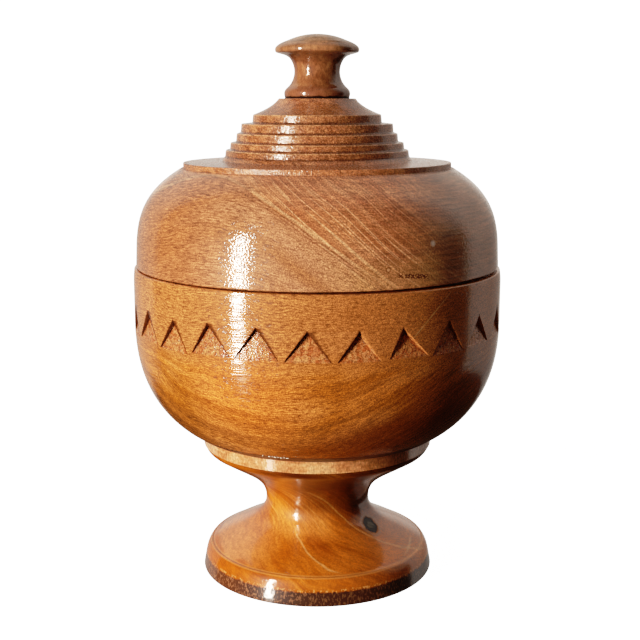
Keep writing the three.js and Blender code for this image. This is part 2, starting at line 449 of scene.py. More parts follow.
def makePedestal():
    f = foot
    outline = (Outline(0, 0)
               .to(f["radius"] - f["edge"], 0)
               .bend(f["radius"], 0, f["radius"], f["edge"], 0.1)
               .to(f["radius"] - 1.1, f["bandTop"])
               .bend(f["radius"] - 1.8, 10.6, f["ridgeRadius"], f["ridgeHeight"])
               .to(f["ridgeRadius"] - 0.5, f["ridgeHeight"] + 0.1)
               .to(f["ridgeRadius"] - 1.0, f["ridgeHeight"] + 0.08)
               .bend(f["ridgeRadius"] - 3.2, 14.7, 44.3, 18.5)
               .sweep([34, 23.5], [f["neckRadius"], 27.3], [f["neckRadius"], f["neckHeight"]], 1)
               .sweep([f["neckRadius"], 46.8], [37.9, 51.3], [f["cupRadius"] - 2.4, 61.8], 1.2)
               .bend(f["cupRadius"] - 0.4, 63.2, f["cupRadius"], f["cupHeight"])
               .to(f["seat"], f["cupHeight"]).to(f["seat"], f["top"])
               .to(f["tenonRadius"], f["top"]).to(f["tenonRadius"], f["tenonTop"]).to(0, f["tenonTop"]))
    mesh = turned(outline.eased(0.25, 2.2), 8, f["sectors"])
    addPiece("turned_pedestal", mesh, pedestalFinish(), "base", "pedestal_foot")


collar = dict(radius=57.6, thickness=3.2, bottom=65.4, top=71.8, joint=-49.5, slit=0.3, segments=256)

collarWood = dict(
    deep=(0.58, 0.22, 0.085), mid=(0.75, 0.32, 0.135), bright=(0.88, 0.45, 0.22), brown=(0.42, 0.14, 0.045),
    shadedSideX=(16, 34), flaw=(-43.4, -37.9, 66.3), flawSize=(0.5, 1.6), gloss=0.08, sheen=0.3, ior=1.85,
    peelSize=1.2, peel=0.03, lineSize=1.1, lines=0.004, pits=0.006)


def collarFinish():
    w = collarWood
    fin, where = newFinish("collar_varnished_wood", w)
    x, = fin.axes(where, "X")
    broad = fin.streak(where, (1, 1, 0.15), 12, 2.0)
    fine = fin.streak(where, (0.35, 0.35, 1), 1.3, 2.0)
    fin.colour = fin.tones(broad * 0.5 + fine * 0.5, w, 0.4, 0.6)
    # painted shade: browner round the right side, away from the window
    fin.paint(x.fade(*w["shadedSideX"]) * 0.75, "brown")
    fin.paint(fin.spot(where, w["flaw"], *w["flawSize"]) * 0.7, "bright")
    speckle = fin.streak(where, (1, 1, 0.5), 0.7)
    fin.vary(speckle, 0.75)
    pores = speckle.fade(0.56, 0.7)
    return fin.close(w["gloss"] + pores * 0.2, fin.relief(where, pores), w["sheen"], w["ior"])


def makeCollar():
    c = collar
    inner = c["radius"] - c["thickness"]
    ring = Outline(inner, c["bottom"]).to(c["radius"], c["bottom"]).to(c["radius"], c["top"])
    points = ring.to(inner, c["top"]).to(inner, c["bottom"]).eased(0.3, 2)
    half = c["slit"] / 2 / c["radius"]
    start = math.radians(c["joint"]) + half
    mesh = spun(points[:-1], start, 2 * math.pi - 2 * half, c["segments"], closed=True)
    bmesh.ops.holes_fill(mesh, edges=[e for e in mesh.edges if e.is_boundary], sides=0)
    bmesh.ops.recalc_face_normals(mesh, faces=mesh.faces)
    addPiece("bent_collar", mesh, collarFinish(), "base", "collar_band")


bowl = dict(
    radius=90.4, baseRadius=60.3, bottom=72.1, rim=155.8, wall=8.6, floor=85, belly=126, mortiseRadius=20.3,
    mortiseTop=79.3, lowSide=62, lowBy=0.9, lowFrom=148)

bowlWood = dict(
    deep=(0.4, 0.125, 0.022), mid=(0.49, 0.167, 0.04), bright=(0.58, 0.21, 0.06), upper=(0.51, 0.196, 0.075),
    glow=(0.8, 0.22, 0.05), olive=(0.33, 0.1, 0.012), red=(0.25, 0.045, 0.006), under=(0.17, 0.034, 0.004),
    pore=(0.2, 0.055, 0.01), scratch=(0.75, 0.42, 0.2), carved=(0.74, 0.33, 0.14),
    carvedRed=(0.45, 0.1, 0.035), creaseShade=(0.06, 0.013, 0.005), edge=(0.72, 0.26, 0.085), middle=-20,
    curve=0.006, curveHeight=(132, 112), upperHeight=(118, 132), sheenAt=(-34, -84, 110), sheenSize=(8, 40),
    oliveX=(-44, -62), oliveHeight=(122, 100), redX=(30, 62), redHeight=(122, 104), underSlope=0.4,
    underLine=(97, 81), underX=(-60, 6), underHeight=(106, 93), shadowLine=(76.6, 75.7), rightX=(0, 26),
    wideHeight=(128, 118), ridgeX=(20, -10), hatchSlope=0.6, hatchHeight=(126, 118),
    broken=(-1.5, -88.5, 131), brokenSize=(1.5, 4.5), scribed=((139.9, 0.1, 0.25), (125.5, 0.08, 0.25)),
    scratchSlope=1.07, scratchLine=(90.2, 0.15, 0.4), scratchHeight=(134, 136, 152, 154),
    scratchFront=(-30, -50), lineX=(48, 10), gloss=0.06, sheen=0.25, peelSize=0.9, peel=0.025, lineSize=0.8,
    lines=0.22, pits=0.024)


def bowlFinish():
    w = bowlWood
    fin, where = newFinish("bowl_varnished_wood", w)
    x, y, z = fin.axes(where)
    drift = fin.push(where, 30, 9)
    driftX, driftY, driftZ = fin.axes(drift)
    blotch = fin.cloud(where, 2.2, 3.0, 0.65)
    # growth layers seen as long lines, level above and curving up at both sides below
    across = driftX - w["middle"]
    ring = driftZ - across * across * z.fade(*w["curveHeight"]) * w["curve"]
    arcs = fin.cloud(fin.join(ring, driftX * 0.12, driftY * 0.12), 7)
    fin.colour = fin.tones(fin.cloud(drift, 26, 1.0) * 0.5 + arcs * 0.5, w)
    # painted shade: darker and redder low on the bowl towards the foot, most right of the middle, with less
    # sheen there
    shadeNearFoot = (z - x * w["underSlope"]).fade(*w["underLine"])
    shadeNearFoot = shadeNearFoot * x.fade(*w["underX"]) * z.fade(*w["underHeight"])
    # painted shadow: a near-black ragged line along the bowl's lower edge over the collar, also rougher
    shadowLine = (z + (blotch - 0.5) * 0.8).fade(*w["shadowLine"])
    # painted sheen: a bright orange patch low on the left, where the window's broad reflection falls
    fin.paint(fin.spot(drift, w["sheenAt"], *w["sheenSize"]) * 0.6, "glow")
    fin.paint(z.fade(*w["upperHeight"]) * 0.55, "upper")
    fin.paint(x.fade(*w["oliveX"]) * z.fade(*w["oliveHeight"]) * 0.6, "olive")
    fin.paint(x.fade(*w["redX"]) * z.fade(*w["redHeight"]) * 0.7, "red")
    fin.paint(shadeNearFoot * 0.75, "under")
    fin.paint(shadowLine * 0.95, "creaseShade")
    # fine wavy lines along the rings, slanting ones at the right, and pores
    twist = fin.cloud(where, 11) * 3.2 + fin.cloud(where, 2.6, 1.0) * 0.9
    ridged = fin.ridges(ring, 1.15, twist)
    dashes = fin.dashes(where, ring + fin.cloud(where, 6, 1.0) * 1.6, 4, 0.22, 0.6)
    slant = z - x * w["hatchSlope"] + fin.cloud(where, 12, 1.0) * 3
    hatch = fin.cloud(fin.join(slant, x * 0.06, y * 0.06), 0.9)
    wide = fin.cloud(fin.join(ring, driftX * 0.05, driftY * 0.05), 4.5)
    speckle = fin.cloud(where, 0.6, 1.0)
    onRight = x.fade(*w["rightX"])
    patchy = x.fade(*w["ridgeX"]) * fin.cloud(where, 8, 1.0).fade(0.36, 0.56)
    fin.vary(wide, 0.75, z.fade(*w["wideHeight"]) * (1.0 - onRight * 0.6))
    fin.vary(ridged, 0.2, patchy)
    fin.vary(dashes, 0.9, 1.0 - onRight * 0.55)
    fin.vary(hatch, 0.7, onRight * (z.fade(*w["hatchHeight"]) * 0.7 + 0.3))
    fin.vary(speckle, 0.75)
    fin.vary(fin.cloud(where, 0.36, 0.0), 0.8)
    pores = dashes.fade(0.4, 0.28)
    fin.paint(pores * 0.4, "pore")
    # the cut faces of the triangles, lighter and redder, with pits; painted highlight on the edges the window
    # lights, and painted shade in the creases
    carved, creaseShade, edge = fin.stored("carved"), fin.stored("creaseShade") ** 1.6, fin.stored("edge")
    cutColour = fin.mix(blotch.fade(0.42, 0.6), w["carved"], w["carvedRed"])
    cutColour = fin.mix(fin.spot(where, w["broken"], *w["brokenSize"]) * 0.5, cutColour, w["carvedRed"])
    fin.paint(carved * 0.6, fin.shade(cutColour, speckle, 1.0))
    pits = carved * fin.cloud(where, 0.8, 1.0).fade(0.54, 0.64)
    fin.paint(pits * 0.55, "pore")
    # painted highlight: brighter orange on the right edges of the chips that the window lights, broken by
    # specks
    fin.paint(edge * speckle.fade(0.4, 0.52) * 0.9, "edge")
    fin.paint(creaseShade * 0.92, "creaseShade")
    # two scribed lines that set out the row, and a pale scratch
    upper, lower = (z.band(*line) for line in w["scribed"])
    fin.paint((upper + lower * 0.6) * blotch.fade(0.36, 0.5) * 0.4, "pore")
    scratch = (z - x * w["scratchSlope"]).band(*w["scratchLine"])
    scratch = scratch * z.within(*w["scratchHeight"]) * y.fade(*w["scratchFront"])
    fin.paint(scratch * (blotch.fade(0.4, 0.55) * 0.4 + 0.4), "scratch")
    relief = fin.relief(where, pores, x.fade(*w["lineX"]) * 0.85 + 0.15)
    relief = fin.bump(pits, 0.25, fin.bump(blotch * carved, 0.3, relief))
    rough = w["gloss"] + carved * 0.05 + shadowLine * 0.3 + pores * 0.2
    return fin.close(rough, relief, (1.0 - creaseShade) * (1.0 - shadeNearFoot * 0.85) * w["sheen"])


chips = dict(
    count=25, first=-2.6, columns=28, leftEdge=7, leftFoot=9, rightFoot=19, rightEdge=21, bottom=125.6,
    top=139.7, margin=6, halfWidth=6.45, depth=2.9, power=0.65, tip=0.12, rows=0.5, seed=7, leftSlope=0.12,
    rightSlope=0.6, shadeSlope=0.06, litFrom=(-5, 12), ragged=0.07, nick=0.2, rough=0.09, shallow={3: 0.5},
    shifts={21: 0.3, 22: 0.3, 23: -0.6, 24: 0, 0: -0.2, 1: -0.2, 2: -1.9, 3: -0.2, 4: -0.2, 5: 2.1})


def makeBowl():
    b = bowl
    inner = b["radius"] - b["wall"]
    lower = (Outline(0, b["mortiseTop"])
             .to(b["mortiseRadius"], b["mortiseTop"]).to(b["mortiseRadius"], b["bottom"])
             .to(b["baseRadius"], b["bottom"])
             .sweep([74.8, 79.6], [89.8, 95], [b["radius"], b["belly"]], 2.6))
    points = [p for p in lower.eased(0.4, 5) if p.y <= chips["bottom"] - 1]
    count = round((chips["top"] - chips["bottom"]) / chips["rows"])
    step = (chips["top"] - chips["bottom"]) / count
    points += [Vector((b["radius"], chips["bottom"] + step * i)) for i in range(-1, count + 3)]
    upper = (Outline(*points[-1]).to(b["radius"], 149)
             .bend(b["radius"], 152, b["radius"] - 0.4, b["rim"] - 0.9, 1.2)
             .bend(b["radius"] - 0.4, b["rim"], b["radius"] - 1.4, b["rim"], 0.3)
             .to(inner, b["rim"]).to(inner + 0.4, b["belly"] + 4)
             .sweep([inner + 0.4, 104], [66, b["floor"] + 1], [36, b["floor"]], 6).to(0, b["floor"]))
    points = points[:-1] + upper.eased(0.5, 6)
    pitch = 360 / chips["count"]
    start = chips["first"] - pitch / 2
    mesh = turned(points, chips["columns"], chips["count"], math.radians(start))
    carveChips(mesh, start, pitch)
    for vert in mesh.verts:   # the rim stands a little low towards one side
        share = (vert.co.z - b["lowFrom"]) / (b["rim"] - b["lowFrom"])
        if share > 0 and vert.co.xy.length > inner - 2:
            facing = (1 + math.cos(math.radians(azimuthOf(vert) - b["lowSide"]))) / 2
            vert.co.z -= b["lowBy"] * facing ** 2 * share
    addPiece("carved_bowl", mesh, bowlFinish(), "base", "bowl", 26)


def carveChips(mesh, start, pitch):
    # slides the columns of points onto each chip's edges and pushes its floor in
    c = chips
    carved, creaseShade, edge = (mesh.verts.layers.float.new(name) for name in ("carved", "creaseShade", "edge"))
    rng = random.Random(c["seed"])
    last, leftEdge, leftFoot = c["columns"], c["leftEdge"], c["leftFoot"]
    rightFoot, rightEdge = c["rightFoot"], c["rightEdge"]
    perDegree = math.radians(bowl["radius"])
    cuts = [dict(apex=rng.uniform(-0.5, 0.5), left=rng.uniform(-0.4, 0.4), right=rng.uniform(-0.4, 0.4),
                 rise=rng.uniform(-0.6, 0.6), drop=rng.uniform(-0.5, 0.5), depth=rng.uniform(0.85, 1.12),
                 lean=rng.uniform(-0.35, 0.35), phase=rng.uniform(0, 90)) for _ in range(c["count"])]
    for index, shift in c["shifts"].items():
        cuts[index]["apex"] = shift
    for index, share in c["shallow"].items():
        cuts[index]["depth"] *= share
    low, high = c["bottom"], c["top"]
    regular = pitch * leftEdge / last
    for vert in mesh.verts:
        z = vert.co.z
        if not (low - c["margin"] < z < high + c["margin"] and vert.co.xy.length > bowl["radius"] - 1.5):
            continue
        turn = (azimuthOf(vert) - start) % 360
        index = int((turn + 1e-3) / pitch) % c["count"]
        column = round((turn - index * pitch) / pitch * last) % last
        if column == 0:
            continue
        cut = cuts[index]
        middle = start + (index + 0.5) * pitch
        # the window lights the right walls of the chips on the right
        lit = smoothStep(*c["litFrom"], (middle + 180) % 360 - 180)
        t = (z - low) / (high - low)
        inside = min(1, max(0, t))
        # where the two edges of the chip run at this height, in degrees from its middle
        ragged = c["ragged"] * noise.noise(Vector((z * 1.3, cut["phase"], 0)))
        nick = c["nick"] * noise.noise(Vector((z * 1.5, cut["phase"], 9)))
        nick *= min(1, inside * 6, (1 - inside) * 6)
        left = (-c["halfWidth"] + cut["left"]) * (1 - inside) + (cut["apex"] - c["tip"]) * inside
        right = (c["halfWidth"] + cut["right"]) * (1 - inside) + (cut["apex"] + c["tip"]) * inside + nick
        away = smoothStep(0, 5, max(low - z, z - high))
        left = left * (1 - away) - regular * away + ragged
        right = right * (1 - away) + regular * away + ragged
        cutDepth = c["depth"] * cut["depth"] * inside ** c["power"] if -0.001 <= t <= 1.001 else 0
        slopes = (c["leftSlope"], c["shadeSlope"] * (1 - lit) + c["rightSlope"] * lit)
        leftWall, rightWall = (min(cutDepth * slope / perDegree, (right - left) * 0.45) for slope in slopes)
        stops = [(0, -pitch / 2), (leftEdge, left), (leftFoot, left + leftWall),
                 (rightFoot, right - rightWall), (rightEdge, right), (last, pitch / 2)]
        for (k0, a0), (k1, a1) in zip(stops, stops[1:]):
            if k0 <= column <= k1:
                angle = a0 + (a1 - a0) * (column - k0) / (k1 - k0)
        depth = 0
        if leftEdge < column < rightEdge:
            rough = c["rough"] * noise.noise(Vector((angle * 1.4, z * 0.9, cut["phase"])))
            depth = cutDepth * (1 + cut["lean"] * angle / 7) + rough * inside
            depth *= 0.6 if column in (leftEdge + 1, rightEdge - 1) else 1
            vert[carved] = 1 if cutDepth > 0 else 0
        if cutDepth > 0.1:
            # painted shade: dark creases down the chips' walls, fading off the right walls where the window
            # lights them
            creases = {leftEdge: 0.9, leftEdge + 1: 1, leftFoot: 1, rightFoot: 0.95 - 0.5 * lit,
                       rightEdge - 1: 1 - lit, rightEdge: 1 - lit, rightEdge + 1: 0.85 * (1 - lit)}
            vert[creaseShade] = creases.get(column, 0)
            # the edge value marks the right edges that the window lights, for a painted highlight
            vert[edge] = {rightEdge - 1: 1, rightEdge: 0.9, rightEdge + 1: 0.2}.get(column, 0) * lit
        radius = vert.co.xy.length - max(0, depth)
        hold = smoothStep(0, 5, column) * smoothStep(0, 5, last - column) * (1 - away)
        lift = (cut["drop"] * (1 - inside) + cut["rise"] * inside) * hold
        azimuth = math.radians(middle + angle)
        vert.co = (radius * math.sin(azimuth), -radius * math.cos(azimuth), z + lift)


lid = dict(
    radius=89, bottom=156.1, shoulder=165, domeTop=203.3, domeTopRadius=66.3, ceiling=196, lipRadius=81,
    lipWall=4, lipDepth=5, flangeRadius=65.2, flangeTop=206, coneTop=236.4, coneRadius=18.6, socketRadius=6.3,
    socketDepth=12, sectors=32,
    tiers=[(44.5, 211.8, 2.9), (42.1, 215.4, 3), (39.1, 219.7, 3.7), (36.8, 224.4, 4), (31.1, 228.7, 3.7)])

lidWood = dict(
    pale=dict(deep=(0.41, 0.17, 0.075), mid=(0.48, 0.21, 0.105), bright=(0.56, 0.255, 0.135)),
    red=dict(deep=(0.43, 0.155, 0.068), mid=(0.53, 0.21, 0.095), bright=(0.62, 0.275, 0.135)),
    left=(0.38, 0.13, 0.048), patch=(0.33, 0.11, 0.055), line=(0.78, 0.42, 0.22), gold=(0.6, 0.29, 0.12),
    dull=(0.44, 0.25, 0.145), pore=(0.2, 0.065, 0.025), groove=(0.1, 0.03, 0.014),
    stepDeep=(0.25, 0.085, 0.036), stepPale=(0.44, 0.185, 0.085), gleam=(0.95, 0.85, 0.75), archTop=201.9,
    archX=-46, archSlope=0.68, archSkew=0.07, archRound=13.5, lean=0.86, softX=(-8, -34), leftX=(-30, -60),
    goldX=(-8, 24), goldArch=(0, -6), patchX=(8, 26), patchHeight=(196, 190), redArch=(50, 18),
    dimHeight=(188, 197), veilX=(34, 62), nearArch=(-13, -4, -1, 1), nearX=(-20, 5), archLine=(0.9, 0.3, 0.6),
    archPores=((-0.7, 0.6), (-2.2, 0.5)), archPoreX=(-40, -15), lowGoldX=(36, 14, 10),
    lowGoldHeight=(173, 165), underHeight=(190, 199), underX=(-8, -26), stepHeight=(202.6, 203.4),
    flangeHeight=(208.5, 207.5), coneHeight=(228, 230), paleStepX=(14, 36), fineX=(45, 20),
    fleckLine=(166.0, 0.7, 0.5), fleckSlope=0.11, fleckX=(41, 6, 2), ringSpot=(30.2, -83.4, 164.9),
    ringLine=(1.0, 0.15, 0.3), gleamAt=(50.1, -72, 174.8), gleamSize=(0.4, 1.9), flangeEdge=(64.4, 64.9),
    riceHeight=(230, 227), gloss=0.06, sheen=0.32, peelSize=0.9, peel=0.075, lineSize=0.9, lines=0.012,
    pits=0.026)


def lidFinish():
    w = lidWood
    fin, where = newFinish("lid_varnished_wood", w)
    x, z = fin.axes(where, "XZ")
    drift = fin.push(where, 18, 1.3)
    driftX, driftY, driftZ = fin.axes(drift)
    fromArch = driftX - w["archX"]
    slide = fromArch * w["archSlope"] + abs(fromArch) * w["archSkew"]
    domed = (slide * slide + w["archRound"] ** 2) ** 0.5
    arch = driftZ + domed - (w["archTop"] + w["archRound"])   # redder above 0
    # paler wood below the arch: wavy dashes that follow it, and soft clouds
    flatter = arch * 0.4 + driftZ * 0.6
    ripple = flatter + fin.cloud(where, 7, 1.0) * 1.8
    dashes = fin.dashes(where, ripple, 5, 0.18, 0.52)
    twist = fin.streak(where, (0.35, 0.35, 1), 9, 2.0) * 2.4 + fin.cloud(where, 3, 1.0) * 0.7
    ridged = fin.ridges(flatter, 1.2, twist)
    bars = fin.cloud(fin.join(ripple, driftX * 0.16, driftY * 0.16), 1.9)
    soft = fin.cloud(fin.join(arch * 0.8, driftX * 0.25, driftY * 0.25), 12)
    pale = fin.tones(soft, w["pale"])
    pale = fin.mix(x.fade(*w["leftX"]) * 0.7, pale, w["left"])
    pale = fin.mix(x.fade(*w["goldX"]) * arch.fade(*w["goldArch"]) * 0.5, pale, w["gold"])
    # redder wood above it: slanting layers with fine pale lines, and level dark patches
    lean = z + x * w["lean"] + (fin.cloud(where, 40, 1.0) - 0.5) * 6
    layers = fin.cloud(fin.join(lean, driftY * 0.1, driftX * 0.04), 4)
    lines = fin.cloud(fin.join(lean, driftY * 0.04, driftX * 0.01), 0.8, 0.0)
    level = fin.streak(drift, (0.28, 0.28, 1), 7, 3.0, 0.55)
    red = fin.tones(layers * 0.5 + level * 0.5, w["red"])
    patches = level.fade(0.5, 0.62) * x.fade(*w["patchX"]) * z.fade(*w["patchHeight"])
    red = fin.mix(patches * 0.7, red, w["patch"])
    paleLines = lines.fade(0.62, 0.67) * arch.fade(*w["redArch"]) * (0.75 - z.fade(*w["dimHeight"]) * 0.35)
    red = fin.mix(paleLines, red, w["line"])
    farRight = x.fade(*w["veilX"])
    red = fin.shade(red, lines, 0.3, 1.0 - farRight)
    red = fin.shade(red, fin.streak(where, (0.1, 0.1, 1), 0.9), 0.45)
    red = fin.shade(red, fin.streak(drift, (0.08, 0.08, 1), 1.2, 2.0), 1.2, farRight)
    # painted reflection: greyer at the far right, where the pale room's veil lies
    red = fin.mix(farRight * 0.4, red, w["dull"])
    fin.colour = fin.mix(arch.fade(-0.6, 1.2), pale, red)
    nearBelow = arch.within(*w["nearArch"]) * x.fade(*w["nearX"])
    fin.paint(lines.fade(0.57, 0.66) * nearBelow * 0.5, "line")
    fin.paint(arch.band(*w["archLine"]) * 0.6, "line")
    for depth, amount in w["archPores"]:
        fin.paint(arch.band(depth, 0.15, 0.4) * amount * x.fade(*w["archPoreX"]), "pore")
    fin.paint(x.band(*w["lowGoldX"]) * z.fade(*w["lowGoldHeight"]) * 0.5, "gold")
    fin.paint(z.fade(*w["underHeight"]) * x.fade(*w["underX"]) * 0.45, "left")
    # the turned steps on top: end grain on their faces
    onSteps, onFlange, onCone = (z.fade(*w[key]) for key in ("stepHeight", "flangeHeight", "coneHeight"))
    grain = fin.streak(where, (1, 1, 0.4), 3.2, 3.0, 0.6)
    steps = fin.ramp(grain, [(0.36, w["stepDeep"]), (0.64, w["stepPale"])])
    steps = fin.mix(x.fade(*w["paleStepX"]) * 0.6, steps, w["stepPale"])
    fin.paint(onSteps * (0.85 - onFlange * 0.4 - onCone * 0.3), steps)
    # painted highlight along the top edge of each tier's face, painted shade in the groove at its foot
    for _, top, rise in lid["tiers"]:   # a pale edge at the top of each face, a dark groove at its foot
        fin.paint(z.band(top - 0.15, 0.1, 0.25) * 0.45, "line")
        fin.paint(z.band(top - rise, 0.25, 0.45) * 0.6, "groove")
    speckle = fin.cloud(where, 0.6, 1.0)
    rice = fin.streak(where, (0.8, 0.8, 1), 0.75)
    patchy = fin.cloud(where, 8, 1.0).fade(0.4, 0.58)
    atLeft = x.fade(*w["softX"])
    fin.vary(rice, 0.65, (onSteps - onFlange * 0.6 - onCone * 0.75).larger(0.0))
    fin.vary(ridged, 0.2, atLeft * patchy)
    fin.vary(bars, 0.45, atLeft)
    fin.vary(dashes, 0.9, atLeft * 0.5 + 0.6 - farRight * 0.4)
    fin.vary(speckle, 0.9, 1.0 - atLeft * 0.5 - farRight * 0.5)
    fin.vary(fin.cloud(where, 0.36, 0.0), 0.8, x.fade(*w["fineX"]))
    pores = dashes.fade(0.4, 0.28)
    fin.paint(pores * (1.0 - onSteps) * arch.fade(3, -3) * 0.45, "pore")
    # a row of dark flecks, a tiny ring, and a painted glint on a dent, low on the right
    flecks = (z + x * w["fleckSlope"]).band(*w["fleckLine"]) * x.band(*w["fleckX"]) * speckle.fade(0.56, 0.48)
    fin.paint(flecks * 0.9, "groove")
    ringFar = fin.far(where, w["ringSpot"])
    fin.paint(ringFar.band(*w["ringLine"]) * 0.6, "pore")
    fin.paint(ringFar.fade(0.8, 0.5) * 0.7, "line")
    fin.paint(fin.spot(where, w["gleamAt"], *w["gleamSize"]) * 0.6, "gleam")
    relief = fin.relief(where, pores)
    relief = fin.bump(rice * onSteps * z.fade(*w["riceHeight"]), 0.11, relief)
    edge = fin.radius(where).fade(*w["flangeEdge"]) * onSteps
    relief = fin.bump(fin.streak(where, (1, 1, 0.2), 0.7, 2.0) * edge, 0.3, relief)
    rough = rice.fade(0.5, 0.62) * onSteps * 0.3 + pores * (1.0 - onSteps) * 0.2
    return fin.close(w["gloss"] + edge * 0.1 + rough, relief, w["sheen"])


def makeLid():
    d = lid
    inner = d["lipRadius"] - d["lipWall"]
    outline = (Outline(0, d["ceiling"]).to(44, d["ceiling"] - 1)
               .sweep([66, 194], [inner + 2.5, 184], [inner + 2.5, 163], 4)
               .to(inner, d["bottom"] - d["lipDepth"]).to(d["lipRadius"], d["bottom"] - d["lipDepth"])
               .to(d["lipRadius"], d["bottom"]).to(d["radius"] - 0.9, d["bottom"])
               .bend(d["radius"], d["bottom"], d["radius"], d["bottom"] + 0.9, 0.2)
               .to(d["radius"] - 0.35, d["shoulder"])
               .sweep([88.2, 181.5], [83.8, 193], [d["domeTopRadius"], d["domeTop"]], 1.2)
               .to(d["flangeRadius"], d["domeTop"]).to(d["flangeRadius"], d["flangeTop"])
               .to(d["tiers"][0][0] + 2, d["flangeTop"] + 0.8))
    for radius, top, rise in d["tiers"]:
        outline.to(radius + 0.35, top - rise).to(radius, top)
    (outline.sweep([27, 230.2], [21, 232.8], [d["coneRadius"], d["coneTop"]], 1)
     .to(d["socketRadius"], d["coneTop"]).to(d["socketRadius"], d["coneTop"] - d["socketDepth"])
     .to(0, d["coneTop"] - d["socketDepth"]))
    mesh = turned(outline.eased(0.3, 2.2), 8, d["sectors"])
    addPiece("turned_lid", mesh, lidFinish(), "lid", "lid")


knob = dict(
    bottom=236.7, top=266.8, tenonRadius=6, tenonBottom=225, beadRadius=16.1, beadTop=241.6, neckRadius=11.1,
    capRadius=20.3, sectors=20)

knobWood = dict(
    deep=(0.2, 0.07, 0.03), mid=(0.31, 0.125, 0.056), bright=(0.43, 0.195, 0.09), cap=(0.4, 0.19, 0.095),
    crown=(0.8, 0.49, 0.31), pore=(0.1, 0.03, 0.015), bead=(0.24, 0.085, 0.045), glue=(0.012, 0.005, 0.003),
    capHeight=(256, 261), crownHeight=(261, 264.5), beadHeight=(243, 241), underCapShade=(255.3, 1.0, 2.0),
    glueShadeHeight=(236.9, 236.3), gloss=0.07, sheen=0.3, peelSize=1.0, peel=0.045, lineSize=0.8, lines=0.006,
    pits=0.008)


def knobFinish():
    w = knobWood
    fin, where = newFinish("knob_varnished_wood", w)
    z, = fin.axes(where, "Z")
    drift = fin.push(where, 12, 3)
    broad = fin.streak(drift, (1, 1, 0.5), 9, 2.0)
    fine = fin.streak(drift, (1, 1, 0.4), 1.6, 2.0)
    tone = broad * 0.6 + fine * 0.4
    fin.colour = fin.tones(tone, w)
    # painted reflection: the cap paler towards its top
    crown = fin.mix(z.fade(*w["crownHeight"]), w["cap"], w["crown"])
    fin.paint(z.fade(*w["capHeight"]) * 0.85, fin.shade(crown, tone, 1.4))
    fin.paint(z.fade(*w["beadHeight"]) * 0.7, "bead")
    # painted shade: a dark band on the neck just under the cap
    fin.paint(z.band(*w["underCapShade"]) * 0.5, "pore")
    speckle = fin.streak(where, (1, 1, 0.5), 0.65)
    fin.vary(speckle, 0.7)
    pores = speckle.fade(0.58, 0.7)
    fin.paint(pores * 0.4, "pore")
    # glue and painted shade: near-black at the foot of the bead, in the crevice above the lid's cone
    ragged = z - fin.cloud(where, 2.5) * 1.6
    fin.paint(ragged.fade(*w["glueShadeHeight"]) * 0.9, "glue")
    return fin.close(w["gloss"], fin.relief(where, pores), w["sheen"])


def makeKnob():
    k = knob
    outline = (Outline(0, k["tenonBottom"]).to(k["tenonRadius"], k["tenonBottom"])
               .to(k["tenonRadius"], k["bottom"]).to(k["beadRadius"] - 0.6, k["bottom"])
               .bend(k["beadRadius"] + 0.8, 239.6, 14.4, k["beadTop"], 0.4)
               .sweep([k["neckRadius"] - 0.2, 244.6], [k["neckRadius"] - 1.2, 250.2], [12.5, 254.3], 0.6)
               .bend(13.4, 256.4, 17.2, 257.3, 0.5)
               .to(k["capRadius"] - 1, 257.9)
               .bend(k["capRadius"] + 0.3, 258.2, k["capRadius"] - 0.1, 260.1, 0.3)
               .bend(19.4, 262, 14.2, 263.8, 0.5)
               .bend(7.4, k["top"], 0, k["top"], 0.7))
    mesh = turned(outline.eased(0.25, 1.5), 8, k["sectors"])
    addPiece("spool_knob", mesh, knobFinish(), "lid", "knob")


# knob: inner and outer radius, bottom and top of its ring of glue, which is also painted shade in the
# crevice; collar: radius, thickness and height of its bead of glue and painted shade
seams = dict(
    dark=(0.008, 0.003, 0.002), brown=(0.05, 0.02, 0.009), knob=(6.6, 15.5, 236.38, 236.72), knobSwell=0.03,
    collar=(57.3, 0.45, 71.98), collarSwell=0.006, flat=0.25, sides=8)


# near-black glue that also stands for the shade in the crevices, a painted shade
def glueAndShade():
    fin, where = newFinish("glue_and_shade")
    lumps = fin.cloud(where, 1.4)
    fin.colour = fin.mix(lumps.fade(0.4, 0.65), seams["dark"], seams["brown"])
    return fin.close(0.9, fin.bump(lumps, 0.1), 0.0)


def makeSeams():
    s = seams
    inner, outer, low, high = s["knob"]
    ring = Outline(inner, low).to(outer, low).to(outer, high).to(inner, high).to(inner, low)
    mesh = turned(ring.points, 8, 16)
    swelled(mesh, outer - 0.1, s["knobSwell"], 0.5)
    addPiece("knob_glue_and_shade", mesh, glueAndShade(), "lid")
    radius, thickness, height = s["collar"]
    turns = [math.tau * i / s["sides"] for i in range(s["sides"] + 1)]
    bead = [Vector((radius + thickness * math.cos(turn), height + thickness * s["flat"] * math.sin(turn)))
            for turn in turns]
    mesh = turned(bead, 12, 20)
    swelled(mesh, 0, s["collarSwell"], 0.3)
    addPiece("collar_glue_and_shade", mesh, glueAndShade(), "base")


# row: azimuth, height and radius of each drop
drops = dict(
    seed=4, edgeRadius=62.6, edgeHeight=73.4, edgeSlope=1.6, wide=(1.1, 1.8), flat=(0.8, 0.75),
    row=[(-22.0, 75.9, 0.3), (-19.3, 75.7, 0.42), (-18.0, 75.8, 0.32), (-16.9, 75.6, 0.55),
        (-15.6, 75.7, 0.38), (-14.5, 75.5, 0.45), (-13.2, 75.6, 0.3), (-12.0, 75.4, 0.42)],
    amber=(0.8, 0.66, 0.5), clear=(1, 0.95, 0.85))


